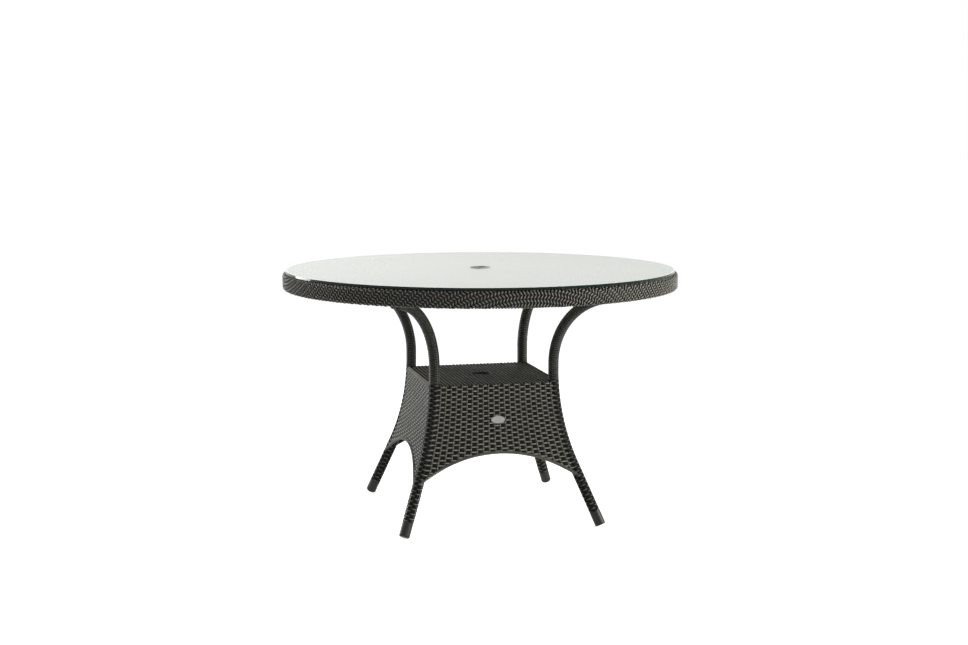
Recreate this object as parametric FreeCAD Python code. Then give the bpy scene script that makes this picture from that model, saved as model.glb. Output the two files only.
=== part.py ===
import FreeCAD, Part
import math
import os

# Round woven umbrella table, in millimetres. The origin is on the floor under the middle of the
# top, +Z is up and the panel with the badge faces -Y. Lengths that the shape hangs on come first.

# Overall size
table_diameter = 1200.0
table_height = 755.0

# Glass top, laid loose on pads, its edge set back from the woven edge
glass_thickness = 8.0
glass_setback = 8.0
glass_edge_round = 1.5
pad_height = 1.5
pad_radius = 8.0
pad_count = 8

# Umbrella ring: a flanged sleeve through the glass, held by a nut from below
pole_bore_radius = 21.0
sleeve_wall = 3.5
sleeve_tail = 1.5
flange_overhang = 5.5
flange_height = 3.0
flange_edge_round = 1.2
ring_nut_width = 8.5
ring_nut_height = 5.5
glass_hole_clearance = 0.5
thread_clearance = 0.05

# Top ring: a hollow metal frame inside a woven skin
ring_width = 50.0
ring_height = 47.0
ring_skin = 2.5
ring_edge_round = 8.0
ring_wall = 2.0
ring_length_count = 4

# Radial arms and the hub that they carry, where the pole passes the frame
arm_width = 25.0
arm_wall = 2.0
arm_rise = 3.5
arm_clearance = 3.5
hub_clearance = 1.0
hub_wall = 8.0

# Legs: straight and leaning at the foot, bent upright at the waist, bent out under the top
leg_angles = {"front_left": 225, "front_right": 315, "back_right": 45, "back_left": 135}
waist_radius = 257.3
waist_length = 19.0
foot_lean = 28.0
lower_bend_radius = 595.0
leg_end_inset = 85.4
leg_tube_radius = 12.5
leg_tube_wall = 2.0
leg_skin = 3.5
leg_skin_end_gap = 1.0

# Foot caps and the plugs in the upper ends of the legs
foot_cap_length = 44.0
foot_cap_floor = 6.0
foot_edge_round = 5.0
plug_flange = 2.0
plug_length = 8.0
plug_clearance = 0.15

# Plates that carry the legs under the arms, with their bolts and threaded inserts
plate_thickness = 6.0
plate_seat = 2.0
plate_overlap = 20.0
plate_edge = 12.0
bolt_radius = 4.0
bolt_hole_clearance = 0.3
bolt_head_flats = 13.0
bolt_head_height = 5.3
bolt_spacing = 18.0
bolt_head_gap = 6.5
insert_wall = 2.0
insert_length = 10.0

# Shelf: a woven sheet on a square of rails, with two slats that hold the pole ring
shelf_height = 428.3
shelf_skin = 4.0
shelf_rail_width = 16.0
shelf_rail_height = 20.0
shelf_rail_wall = 1.5
slat_width = 16.0
slat_height = 12.0
shelf_bore_radius = 30.0
shelf_ring_wall = 6.0
shelf_ring_proud = 1.0
shelf_skin_gap = 0.3

# Woven panels between the legs, hemmed round a bent rod along the arch
panel_thickness = 4.0
panel_inset = 1.0
panel_gap = 0.2
arch_height = 227.0
arch_crown_radius = 389.0
arch_end_slope = 30.0
arch_rod_radius = 4.0

# Bare oval badge on the front panel, on two studs with push-on clips
badge_width = 42.0
badge_height = 22.0
badge_thickness = 1.6
badge_rim = 2.0
badge_recess = 0.5
badge_drop = 106.8
badge_centre_x = 4.0
badge_stud_radius = 1.5
badge_stud_spacing = 26.0
badge_stud_tail = 1.8
badge_clip_radius = 4.5
badge_clip_thickness = 0.8
badge_hole_clearance = 0.1

# Heights and radii that follow from the sizes above
glass_bottom = table_height - glass_thickness
ring_top = glass_bottom - pad_height
ring_bottom = ring_top - ring_height
ring_outer = table_diameter / 2
ring_inner = ring_outer - ring_width
ring_frame_inner = ring_inner + ring_skin
ring_frame_outer = ring_outer - ring_skin
ring_frame_bottom = ring_bottom + ring_skin
ring_frame_top = ring_top - ring_skin
ring_frame_round = ring_edge_round - ring_skin
sleeve_radius = pole_bore_radius + sleeve_wall
sleeve_bottom = glass_bottom - ring_nut_height - sleeve_tail
arm_bottom = ring_frame_bottom + arm_rise
arm_top = sleeve_bottom - arm_clearance
hub_bore_radius = pole_bore_radius + hub_clearance
hub_outer = hub_bore_radius + hub_wall
leg_outer_radius = leg_tube_radius + leg_skin
leg_bore_radius = leg_tube_radius - leg_tube_wall
leg_top = arm_bottom - plate_thickness + plate_seat - leg_tube_radius
leg_end = ring_inner - leg_end_inset
upper_bend_radius = leg_end - waist_radius
lean = math.radians(foot_lean)
waist_top = leg_top - upper_bend_radius
waist_bottom = waist_top - waist_length
lean_top = waist_bottom - lower_bend_radius * math.sin(lean)
lean_top_radius = waist_radius + lower_bend_radius * (1 - math.cos(lean))
foot_centre_height = (foot_edge_round + (leg_outer_radius - foot_edge_round) * math.sin(lean)
                      - foot_edge_round * math.cos(lean))
foot_radius = lean_top_radius + math.tan(lean) * (lean_top - foot_centre_height)
first_bolt = leg_end + plug_flange + bolt_head_flats / math.sqrt(3) + bolt_head_gap
bolt_distances = [first_bolt, first_bolt + bolt_spacing]
insert_radius = bolt_radius + insert_wall
panel_offset = leg_outer_radius - panel_inset
shelf_bottom = shelf_height - shelf_skin
shelf_ring_outer = shelf_bore_radius + shelf_ring_wall
badge_centre_height = shelf_height - badge_drop
badge_clip_front = -(panel_thickness + 2 * panel_gap)
badge_clip_back = badge_clip_front - badge_clip_thickness

Vec = FreeCAD.Vector
origin = Vec(0, 0, 0)
x_axis = Vec(1, 0, 0)
y_axis = Vec(0, 1, 0)
z_axis = Vec(0, 0, 1)
leg_direction = Vec(-math.sin(lean), 0, math.cos(lean))


def turned(shape, degrees, axis=z_axis):
    """A copy turned about an axis through the origin."""
    copy = shape.copy()
    copy.rotate(origin, axis, degrees)
    return copy


def moved(shape, offset):
    """A copy shifted by a vector."""
    copy = shape.copy()
    copy.translate(offset)
    return copy


def cut_all(shape, cutters):
    """What is left of a shape after each cutter in turn."""
    for cutter in cutters:
        shape = shape.cut(cutter)
    return shape


def block(x0, x1, y0, y1, z0, z1):
    """A box between two corners."""
    return Part.makeBox(x1 - x0, y1 - y0, z1 - z0, Vec(x0, y0, z0))


def tube(inner, outer, z0, z1):
    """An upright tube about the Z axis."""
    wall = Part.makeCylinder(outer, z1 - z0, Vec(0, 0, z0))
    return wall.cut(Part.makeCylinder(inner, z1 - z0, Vec(0, 0, z0)))


def rounded_section(r0, r1, z0, z1, rounding):
    """A rectangle in the XZ plane with four round corners, as a face."""
    corners = [(r1 - rounding, z0 + rounding), (r1 - rounding, z1 - rounding),
               (r0 + rounding, z1 - rounding), (r0 + rounding, z0 + rounding)]
    edges = []
    ends = []
    for i, (centre_x, centre_z) in enumerate(corners):
        arc = []
        for degrees in (-90, -45, 0):
            angle = math.radians(degrees + 90 * i)
            arc.append(Vec(centre_x + rounding * math.cos(angle), 0, centre_z + rounding * math.sin(angle)))
        edges.append(Part.Arc(*arc).toShape())
        ends.append((arc[0], arc[-1]))
    for i in range(4):
        edges.append(Part.LineSegment(ends[i][1], ends[(i + 1) % 4][0]).toShape())
    return Part.Face(Part.Wire(Part.__sortEdges__(edges)))


def turned_ring(section):
    """The solid that a section in the XZ plane sweeps round the Z axis."""
    return section.revolve(origin, z_axis, 360)


def leg_path(start_distance, stop_angle):
    """A leg's centre line in the XZ plane, from a distance up the foot into the upper bend."""
    foot = Vec(foot_radius, 0, foot_centre_height) + leg_direction * start_distance
    lean_end = Vec(lean_top_radius, 0, lean_top)
    lower_centre = Vec(waist_radius + lower_bend_radius, 0, waist_bottom)
    half_lean = lean / 2
    lower_middle = lower_centre - Vec(math.cos(half_lean), 0, math.sin(half_lean)) * lower_bend_radius
    waist_low = Vec(waist_radius, 0, waist_bottom)
    waist_high = Vec(waist_radius, 0, waist_top)
    upper_centre = Vec(leg_end, 0, waist_top)
    points = []
    for share in (0.5, 1.0):
        angle = math.radians(stop_angle * share)
        points.append(upper_centre + Vec(-math.cos(angle), 0, math.sin(angle)) * upper_bend_radius)
    return Part.Wire([
        Part.LineSegment(foot, lean_end).toShape(),
        Part.Arc(lean_end, lower_middle, waist_low).toShape(),
        Part.LineSegment(waist_low, waist_high).toShape(),
        Part.Arc(waist_high, points[0], points[1]).toShape(),
    ])


def along_leg(outer, inner, start_distance, stop_angle):
    """A round tube, or a bar if inner is 0, swept along a leg's centre line."""
    path = leg_path(start_distance, stop_angle)
    start = path.Edges[0].valueAt(path.Edges[0].FirstParameter)
    bars = [path.makePipe(Part.Face(Part.Wire(Part.makeCircle(radius, start, leg_direction))))
            for radius in (outer, inner) if radius > 0]
    return bars[0].cut(bars[1]) if inner > 0 else bars[0]


def flare(height):
    """Sideways distance from the middle to a leg's centre line at a height."""
    if height >= waist_bottom:
        radius = waist_radius
    elif height >= lean_top:
        drop = waist_bottom - height
        radius = waist_radius + lower_bend_radius - math.sqrt(lower_bend_radius ** 2 - drop ** 2)
    else:
        radius = lean_top_radius + math.tan(lean) * (lean_top - height)
    return radius / math.sqrt(2)


def flare_edges(offset):
    """The legs' flare seen from the side, as edges in the XZ plane from the floor to the top ring."""
    centre = Vec((waist_radius + lower_bend_radius) / math.sqrt(2) + offset, 0, waist_bottom)
    lean_end = Vec(flare(lean_top) + offset, 0, lean_top)
    waist_low = Vec(flare(waist_bottom) + offset, 0, waist_bottom)
    ellipse = Part.Ellipse(centre - z_axis * lower_bend_radius, waist_low, centre)
    ends = sorted((ellipse.parameter(lean_end), ellipse.parameter(waist_low)))
    return [
        Part.LineSegment(Vec(flare(0) + offset, 0, 0), lean_end).toShape(),
        Part.ArcOfEllipse(ellipse, ends[0], ends[1]).toShape(),
        Part.LineSegment(waist_low, Vec(flare(waist_bottom) + offset, 0, ring_bottom)).toShape(),
    ]


def flare_face(near, far):
    """The area between two copies of the legs' flare, in the XZ plane."""
    edges = flare_edges(near) + flare_edges(far)
    for height in (0, ring_bottom):
        x = flare(height)
        edges.append(Part.LineSegment(Vec(x + near, 0, height), Vec(x + far, 0, height)).toShape())
    return Part.Face(Part.Wire(Part.__sortEdges__(edges)))


# The plane of each arch leans with the panel: its top and its ends touch the panel's middle surface
def panel_middle(height):
    return flare(height) + panel_offset - panel_thickness / 2


end_angle = math.radians(arch_end_slope)
arch_drop = arch_crown_radius * (1 - math.cos(end_angle))
arch_tilt = math.atan((panel_middle(arch_height - arch_drop) - panel_middle(arch_height)) / arch_drop)
arch_reach = flare(0) + leg_outer_radius * 2


def on_arch_plane(x, rise, out=0.0):
    """A point of the front arch's plane: x along the panel, rise up the slope, out from the plane."""
    y = -panel_middle(arch_height) + rise * math.sin(arch_tilt) - out * math.cos(arch_tilt)
    z = arch_height + rise * math.cos(arch_tilt) + out * math.sin(arch_tilt)
    return Vec(x, y, z)


def arch_edges(above):
    """A line along the arch, a distance above the hem's: straight run, round crown, straight run."""
    radius = arch_crown_radius + above
    side = radius * math.sin(end_angle)
    side_rise = radius * math.cos(end_angle) - arch_crown_radius
    end_rise = side_rise - (arch_reach - side) * math.tan(end_angle)
    left = on_arch_plane(-side, side_rise)
    right = on_arch_plane(side, side_rise)
    return [
        Part.LineSegment(on_arch_plane(-arch_reach, end_rise), left).toShape(),
        Part.Arc(left, on_arch_plane(0, above), right).toShape(),
        Part.LineSegment(right, on_arch_plane(arch_reach, end_rise)).toShape(),
    ]


def arch_rod(radius):
    """The rod in the front arch's hem, running past the legs on both sides."""
    edges = arch_edges(0)
    path = Part.Wire(edges)
    start = edges[0].Vertexes[0].Point
    direction = edges[0].Vertexes[1].Point - start
    return path.makePipe(Part.Face(Part.Wire(Part.makeCircle(radius, start, direction))))


def arch_opening():
    """Everything in front of and behind the front arch that lies below the top of its rod."""
    edges = arch_edges(arch_rod_radius + panel_gap)
    left_end = edges[0].Vertexes[0].Point
    right_end = edges[-1].Vertexes[1].Point
    down = on_arch_plane(0, -table_height) - on_arch_plane(0, 0)
    left_low = left_end + down
    right_low = right_end + down
    edges.append(Part.LineSegment(right_end, right_low).toShape())
    edges.append(Part.LineSegment(right_low, left_low).toShape())
    edges.append(Part.LineSegment(left_low, left_end).toShape())
    outward = on_arch_plane(0, 0, waist_radius / 2) - on_arch_plane(0, 0)
    return moved(Part.Face(Part.Wire(edges)), outward * -1).extrude(outward * 2)


def between_legs():
    """The space between the middle planes of the two front legs."""
    area = flare_face(0, -2 * flare(0))
    right = moved(area, y_axis * -table_diameter).extrude(y_axis * (2 * table_diameter))
    return right.common(turned(right, 180))


# Glass top and umbrella ring
def make_glass_top():
    hole = sleeve_radius + glass_hole_clearance
    edge = table_diameter / 2 - glass_setback
    return turned_ring(rounded_section(hole, edge, glass_bottom, table_height, glass_edge_round))


def make_umbrella_ring():
    flange_radius = sleeve_radius + flange_overhang
    flange = tube(pole_bore_radius, flange_radius, table_height, table_height + flange_height)
    rims = [edge for edge in flange.Edges if edge.BoundBox.ZMin > table_height + flange_height / 2
            and edge.BoundBox.ZLength < flange_height / 2]
    flange = flange.makeFillet(flange_edge_round, rims)
    sleeve = tube(pole_bore_radius, sleeve_radius, sleeve_bottom, table_height)
    return flange.fuse(sleeve).removeSplitter()


def make_umbrella_ring_nut():
    bore = sleeve_radius + thread_clearance
    return tube(bore, sleeve_radius + ring_nut_width, glass_bottom - ring_nut_height, glass_bottom)


def make_glass_pads():
    radius = (ring_inner + ring_outer) / 2
    pad = Part.makeCylinder(pad_radius, pad_height, Vec(radius, 0, ring_top))
    return Part.makeCompound([turned(pad, 360 * i / pad_count) for i in range(pad_count)])


# Top ring, arms and hub
def ring_frame_section():
    return rounded_section(ring_frame_inner, ring_frame_outer, ring_frame_bottom, ring_frame_top,
                           ring_frame_round)


def ring_in_lengths(section):
    """A ring of bent lengths joined end to end, as the hoop is welded and its skin is woven."""
    turn = 360 / ring_length_count
    length = section.revolve(origin, z_axis, turn)
    return length.fuse([turned(length, turn * i) for i in range(1, ring_length_count)])


def make_top_ring_frame():
    inside = rounded_section(ring_frame_inner + ring_wall, ring_frame_outer - ring_wall,
                             ring_frame_bottom + ring_wall, ring_frame_top - ring_wall,
                             ring_frame_round - ring_wall)
    return ring_in_lengths(ring_frame_section().cut(inside))


def make_ring_weave(arm_blocks):
    outside = rounded_section(ring_inner, ring_outer, ring_bottom, ring_top, ring_edge_round)
    return cut_all(ring_in_lengths(outside.cut(ring_frame_section())), arm_blocks)


def arm_block(margin):
    """An arm's outline along +X from the hub to the ring, shrunk by a margin on its four sides."""
    half = arm_width / 2 - margin
    bar = block(0, ring_frame_outer, -half, half, arm_bottom + margin, arm_top - margin)
    reach = Part.makeCylinder(ring_frame_inner, table_height)
    return bar.common(reach).cut(Part.makeCylinder(hub_outer, table_height))


def make_frame_arm():
    seats = [Vec(distance, 0, arm_bottom) for distance in bolt_distances]
    holes = [Part.makeCylinder(insert_radius, arm_wall, seat) for seat in seats]
    return cut_all(arm_block(0).cut(arm_block(arm_wall)), holes)


def make_pole_hub():
    return tube(hub_bore_radius, hub_outer, arm_bottom, arm_top)


# One leg with what is on it, lying over +X
def make_foot_cap():
    bend = foot_edge_round * (1 - math.sqrt(0.5))
    side = leg_outer_radius
    floor_end = Vec(side - foot_edge_round, 0, 0)
    arc = Part.Arc(floor_end, Vec(side - bend, 0, bend), Vec(side, 0, foot_edge_round))
    corners = [Vec(side, 0, foot_edge_round), Vec(side, 0, foot_cap_length),
               Vec(leg_tube_radius, 0, foot_cap_length), Vec(leg_tube_radius, 0, foot_cap_floor),
               Vec(0, 0, foot_cap_floor), origin, floor_end]
    edges = [arc.toShape()]
    for a, b in zip(corners, corners[1:]):
        edges.append(Part.LineSegment(a, b).toShape())
    cap = turned_ring(Part.Face(Part.Wire(edges)))
    return moved(turned(cap, -foot_lean, y_axis), Vec(foot_radius, 0, foot_centre_height))


def make_leg_end_plug():
    bend_room = plug_length ** 2 / (2 * upper_bend_radius)
    body_radius = leg_bore_radius - bend_room - plug_clearance
    flange = Part.makeCylinder(leg_tube_radius, plug_flange, Vec(leg_end, 0, leg_top), x_axis)
    body = Part.makeCylinder(body_radius, plug_length, Vec(leg_end - plug_length, 0, leg_top), x_axis)
    return flange.fuse(body).removeSplitter()


def make_leg_plate(leg_solid, plug):
    half = arm_width / 2
    near = leg_end - plate_overlap
    far = bolt_distances[-1] + plate_edge
    base = arm_bottom - plate_thickness
    seats = [Vec(distance, 0, base) for distance in bolt_distances]
    holes = [Part.makeCylinder(bolt_radius + bolt_hole_clearance, plate_thickness, seat) for seat in seats]
    return cut_all(block(near, far, -half, half, base, arm_bottom), [leg_solid, plug] + holes)


def make_bolt():
    """A hexagon bolt whose head meets the plate from below, its shank on the Z axis."""
    corner = bolt_head_flats / math.sqrt(3)
    head_top = arm_bottom - plate_thickness
    turns = [math.radians(60 * i) for i in range(7)]
    outline = [Vec(corner * math.cos(a), corner * math.sin(a), head_top - bolt_head_height) for a in turns]
    head = Part.Face(Part.makePolygon(outline)).extrude(z_axis * bolt_head_height)
    shank = Part.makeCylinder(bolt_radius, plate_thickness + insert_length, Vec(0, 0, head_top))
    return head.fuse(shank).removeSplitter()


def make_insert():
    """A threaded insert pressed into the arm's lower wall."""
    return tube(bolt_radius + thread_clearance, insert_radius, arm_bottom, arm_bottom + insert_length)


# Shelf
rail_outer = flare(shelf_bottom) + panel_offset - panel_thickness - panel_gap
rail_inner = rail_outer - shelf_rail_width


def rail_block(margin):
    """The front rail's outline between the legs' middles, shrunk by a margin on its long sides."""
    end = flare(shelf_bottom)
    base = shelf_bottom - shelf_rail_height
    return block(-end, end, margin - rail_outer, -rail_inner - margin, base + margin, shelf_bottom - margin)


def make_shelf_slat():
    """The right slat, against the side of the pole ring."""
    far = shelf_ring_outer + slat_width
    return block(shelf_ring_outer, far, -rail_inner, rail_inner, shelf_bottom - slat_height, shelf_bottom)


def make_shelf_hole_ring():
    top = shelf_height + shelf_ring_proud
    return tube(shelf_bore_radius, shelf_ring_outer, shelf_bottom - slat_height, top)


def make_shelf_weave(notches):
    half = flare(shelf_height) + panel_offset
    corner = flare(shelf_height)
    sheet = block(-half, half, -corner, corner, shelf_bottom, shelf_height)
    sheet = sheet.fuse(turned(sheet, 90)).removeSplitter()
    hole = Part.makeCylinder(shelf_ring_outer + shelf_skin_gap, shelf_height)
    return cut_all(sheet, [hole] + notches)


# Badge
badge_slope = math.atan((flare(badge_centre_height - 1) - flare(badge_centre_height + 1)) / 2)


def on_badge(shape):
    """Places a shape modelled on the XY plane, its front upwards, against the front panel."""
    tilted = turned(shape, 90 - math.degrees(badge_slope), x_axis)
    face = flare(badge_centre_height) + panel_offset + panel_gap
    return moved(tilted, Vec(badge_centre_x, -face, badge_centre_height))


def oval(width, height, base, top):
    """An upright oval disc about the Z axis."""
    ellipse = Part.Ellipse(Vec(0, 0, base), width / 2, height / 2)
    return Part.Face(Part.Wire(ellipse.toShape())).extrude(z_axis * (top - base))


def badge_studs(radius, base, top):
    """Two round bars behind the badge."""
    half = badge_stud_spacing / 2
    return [Part.makeCylinder(radius, top - base, Vec(side * half, 0, base)) for side in (-1, 1)]


def make_badge_plate():
    plate = oval(badge_width, badge_height, 0, badge_thickness)
    field = oval(badge_width - 2 * badge_rim, badge_height - 2 * badge_rim,
                 badge_thickness - badge_recess, badge_thickness)
    plate = plate.cut(field)
    for stud in badge_studs(badge_stud_radius, badge_clip_back - badge_stud_tail, badge_thickness / 2):
        plate = plate.fuse(stud)
    return on_badge(plate.removeSplitter())


def make_badge_clips():
    outer = badge_studs(badge_clip_radius, badge_clip_back, badge_clip_front)
    inner = badge_studs(badge_stud_radius, badge_clip_back, badge_clip_front)
    return Part.makeCompound([on_badge(disc.cut(hole)) for disc, hole in zip(outer, inner)])


# One side and one leg are made, and copies of them are turned to their places
os.makedirs("parts", exist_ok=True)


def save(name, shape):
    shape.exportStep("parts/" + name + ".step")
    print(name, len(shape.Solids), round(shape.Volume, 1), shape.isValid())


def at_front_legs(shape):
    return Part.makeCompound([turned(shape, leg_angles[name]) for name in ("front_left", "front_right")])


side_angles = {"front": 0, "right": 90, "back": 180, "left": 270}
leg_solid = along_leg(leg_outer_radius, 0, 0, 90)
tube_solid = along_leg(leg_tube_radius, 0, foot_cap_floor, 90)
front_tubes = at_front_legs(tube_solid)
inside_legs = between_legs()

front_rod = arch_rod(arch_rod_radius).common(inside_legs).cut(front_tubes)
front_rail = rail_block(0).cut(rail_block(shelf_rail_wall)).cut(front_tubes)

skin = flare_face(panel_offset - panel_thickness, panel_offset)
skin = turned(moved(skin, y_axis * -table_diameter).extrude(y_axis * (2 * table_diameter)), -90)
above_shelf = Part.makeCylinder(table_diameter, table_height, Vec(0, 0, shelf_bottom))
panel = cut_all(skin.common(inside_legs), [above_shelf, arch_opening(), at_front_legs(leg_solid)])

plug = make_leg_end_plug()
leg_tube = along_leg(leg_tube_radius, leg_bore_radius, foot_cap_floor, 90)
skin_end_angle = math.degrees(math.acos((plate_overlap + leg_skin_end_gap) / upper_bend_radius))
leg_weave = along_leg(leg_outer_radius, leg_tube_radius, foot_cap_length, skin_end_angle)
for name in ("front_left", "front_right"):
    leg_weave = cut_all(leg_weave, [turned(piece, -leg_angles[name]) for piece in (front_rod, rail_block(0))])

save("glass_top", make_glass_top())
save("umbrella_ring", make_umbrella_ring())
save("umbrella_ring_nut", make_umbrella_ring_nut())
save("glass_pads", make_glass_pads())
save("top_ring_frame", make_top_ring_frame())
save("ring_weave", make_ring_weave([turned(arm_block(0), angle) for angle in leg_angles.values()]))
save("pole_hub", make_pole_hub())

bolts = []
inserts = []
for name, angle in leg_angles.items():
    save("frame_arm_" + name, turned(make_frame_arm(), angle))
    save("leg_tube_" + name, turned(leg_tube, angle))
    save("leg_weave_" + name, turned(leg_weave, angle))
    save("foot_cap_" + name, turned(make_foot_cap(), angle))
    save("leg_end_plug_" + name, turned(plug, angle))
    save("leg_plate_" + name, turned(make_leg_plate(tube_solid, plug), angle))
    for distance in bolt_distances:
        bolts.append(turned(moved(make_bolt(), x_axis * distance), angle))
        inserts.append(turned(moved(make_insert(), x_axis * distance), angle))
save("leg_bolts", Part.makeCompound(bolts))
save("threaded_inserts", Part.makeCompound(inserts))

hole_radius = badge_stud_radius + badge_hole_clearance
hole_start = badge_clip_back - badge_clip_thickness
hole_end = badge_thickness + 2 * panel_gap
stud_holes = [on_badge(stud) for stud in badge_studs(hole_radius, hole_start, hole_end)]
for name, angle in side_angles.items():
    woven = cut_all(panel, stud_holes) if name == "front" else panel
    save("panel_" + name, turned(woven, angle))
    save("arch_rod_" + name, turned(front_rod, angle))
    save("shelf_rail_" + name, turned(front_rail, angle))

save("shelf_slat_left", turned(make_shelf_slat(), 180))
save("shelf_slat_right", make_shelf_slat())
save("shelf_hole_ring", make_shelf_hole_ring())
notch = along_leg(leg_outer_radius + shelf_skin_gap, 0, 0, 90)
save("shelf_weave", make_shelf_weave([turned(notch, angle) for angle in leg_angles.values()]))
save("badge_plate", make_badge_plate())
save("badge_clips", make_badge_clips())
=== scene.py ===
"""Gives a round woven garden table with a glass top its looks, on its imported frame."""

import math

import bmesh
import bpy
import numpy as np
from bpy.props import FloatProperty, FloatVectorProperty, IntProperty, PointerProperty
from mathutils import Matrix, Vector


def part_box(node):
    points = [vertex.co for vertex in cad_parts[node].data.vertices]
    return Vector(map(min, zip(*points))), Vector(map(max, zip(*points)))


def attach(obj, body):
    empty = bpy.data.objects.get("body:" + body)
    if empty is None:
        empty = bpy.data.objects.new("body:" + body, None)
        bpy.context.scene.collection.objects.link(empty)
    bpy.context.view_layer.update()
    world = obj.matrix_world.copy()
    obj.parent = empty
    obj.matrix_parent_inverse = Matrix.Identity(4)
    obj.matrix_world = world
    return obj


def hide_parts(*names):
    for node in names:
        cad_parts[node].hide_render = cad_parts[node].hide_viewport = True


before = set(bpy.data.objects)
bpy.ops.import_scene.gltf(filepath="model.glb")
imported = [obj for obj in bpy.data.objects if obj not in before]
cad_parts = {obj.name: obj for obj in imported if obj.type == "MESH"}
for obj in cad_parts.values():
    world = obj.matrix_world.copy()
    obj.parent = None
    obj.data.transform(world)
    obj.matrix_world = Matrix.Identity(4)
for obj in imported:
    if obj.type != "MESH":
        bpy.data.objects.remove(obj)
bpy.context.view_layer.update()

bl_info = {
    "name": "Woven Umbrella Table",
    "version": (1, 0, 0),
    "blender": (4, 5, 0),
    "location": "View3D > Sidebar > Table",
    "description": "Weaves, finishes and lights a round glass-topped garden table",
    "category": "Object",
}

# The boxes of the solids that the weaves and the finishes are set against
ring_low, ring_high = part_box("ring_weave")
shelf_low, shelf_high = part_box("shelf_weave")
hole_low, hole_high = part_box("shelf_hole_ring")
glass_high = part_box("glass_top")[1]

# The line of the legs, in metres and radians, from the foot up
waist_radius = 0.2573
waist_length = 0.019
lean = math.radians(28)
lower_bend_radius = 0.595
leg_end = 0.4646
leg_top = 0.688
foot_height = 0.00575
leg_radius = 0.016
upper_bend_radius = leg_end - waist_radius
waist_top = leg_top - upper_bend_radius
waist_bottom = waist_top - waist_length
lean_top = waist_bottom - lower_bend_radius * math.sin(lean)
lean_top_radius = waist_radius + lower_bend_radius * (1 - math.cos(lean))
foot_radius = lean_top_radius + math.tan(lean) * (lean_top - foot_height)
lean_length = (lean_top - foot_height) / math.cos(lean)
lower_bend_length = lower_bend_radius * lean
foot_cap_length = 0.044

# How far legs are turned round the middle from +X, and sides from the front, in degrees
leg_angles = {"front_left": 225, "front_right": 315, "back_right": 45, "back_left": 135}
side_angles = {"front": 0, "right": 90, "back": 180, "left": 270}

# How far the panels' middles and the middle of their weave stand out from the legs' centre lines
panel_middle = 0.0130
weave_middle = 0.0118

# The arch at the foot of each panel
arch_height = 0.227
arch_crown_radius = 0.389
arch_end_angle = math.radians(30)
arch_rod_radius = 0.004

# The section of the top ring
ring_width = 0.05
ring_rounding = 0.008
corner_points = 9

# How deep flat strands are below their middles, and the power that flattens the crests of waves
underside = 0.0008
crest_power = 0.6

# The radius of the strand in a ring of radius 1, before it is laid round a rod, a leg or a hole
ring_strand_radius = 0.25


def flare(height):
    """Sideways distance from the middle to the legs' centre lines at each height."""
    drop = np.clip(waist_bottom - height, 0, lower_bend_radius * math.sin(lean))
    bent = waist_radius + lower_bend_radius - np.sqrt(lower_bend_radius ** 2 - drop ** 2)
    below = np.clip(lean_top - height, 0, None)
    return (bent + math.tan(lean) * below) / math.sqrt(2)


def flare_slope(height):
    """How much the flare grows for each metre downwards."""
    step = 0.0005
    return (flare(height - step) - flare(height + step)) / (2 * step)


def leg_line(distance):
    """Radius, height and direction of a leg's centre line at distances up from its foot."""
    bend = np.clip(distance - lean_length, 0, lower_bend_length)
    waist = np.clip(distance - lean_length - lower_bend_length, 0, waist_length)
    top = np.clip(distance - lean_length - lower_bend_length - waist_length, 0, None)
    straight = np.minimum(distance, lean_length)
    tilt = lean - bend / lower_bend_radius
    turn = top / upper_bend_radius
    radius = (foot_radius - straight * math.sin(lean)
              - lower_bend_radius * (np.cos(tilt) - math.cos(lean))
              + upper_bend_radius * (1 - np.cos(turn)))
    height = (foot_height + straight * math.cos(lean)
              + lower_bend_radius * (math.sin(lean) - np.sin(tilt))
              + waist + upper_bend_radius * np.sin(turn))
    angle = turn - tilt
    return radius, height, np.sin(angle), np.cos(angle)


def arch_line(distance):
    """Sideways place, rise and direction of an arch at distances from its crown."""
    side = np.sign(distance)
    run = np.abs(distance)
    angle = np.minimum(run / arch_crown_radius, arch_end_angle)
    straight = np.clip(run - arch_crown_radius * arch_end_angle, 0, None)
    x = arch_crown_radius * np.sin(angle) + straight * math.cos(arch_end_angle)
    rise = arch_crown_radius * (np.cos(angle) - 1) - straight * math.sin(arch_end_angle)
    return side * x, rise, np.cos(angle), -side * np.sin(angle)


arch_drop = arch_crown_radius * (1 - math.cos(arch_end_angle))
arch_tilt = math.atan((flare(arch_height - arch_drop) - flare(arch_height)) / arch_drop)


def soft_square(wave):
    """Flattens the crests of a wave."""
    return np.sign(wave) * np.abs(wave) ** crest_power


def deselect():
    bpy.ops.object.select_all(action="DESELECT")


def pick(piece):
    """Selects one piece alone and makes it the active one."""
    deselect()
    piece.select_set(True)
    bpy.context.view_layer.objects.active = piece


def corners(piece):
    """The places of a mesh's corners, as rows of x, y and z."""
    flat = np.empty(len(piece.data.vertices) * 3)
    piece.data.vertices.foreach_get("co", flat)
    return flat.reshape(-1, 3)


def place_corners(piece, places):
    piece.data.vertices.foreach_set("co", np.ascontiguousarray(places, dtype=np.float64).ravel())
    piece.data.update()


def mark_painted_highlights(piece, share):
    """Keeps how much painted highlight each corner gets, from 0 to 1, for the finish to read."""
    crest = piece.data.attributes.get("crest") or piece.data.attributes.new("crest", "FLOAT", "POINT")
    crest.data.foreach_set("value", np.clip(share, 0, 1).astype(np.float32))


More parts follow.
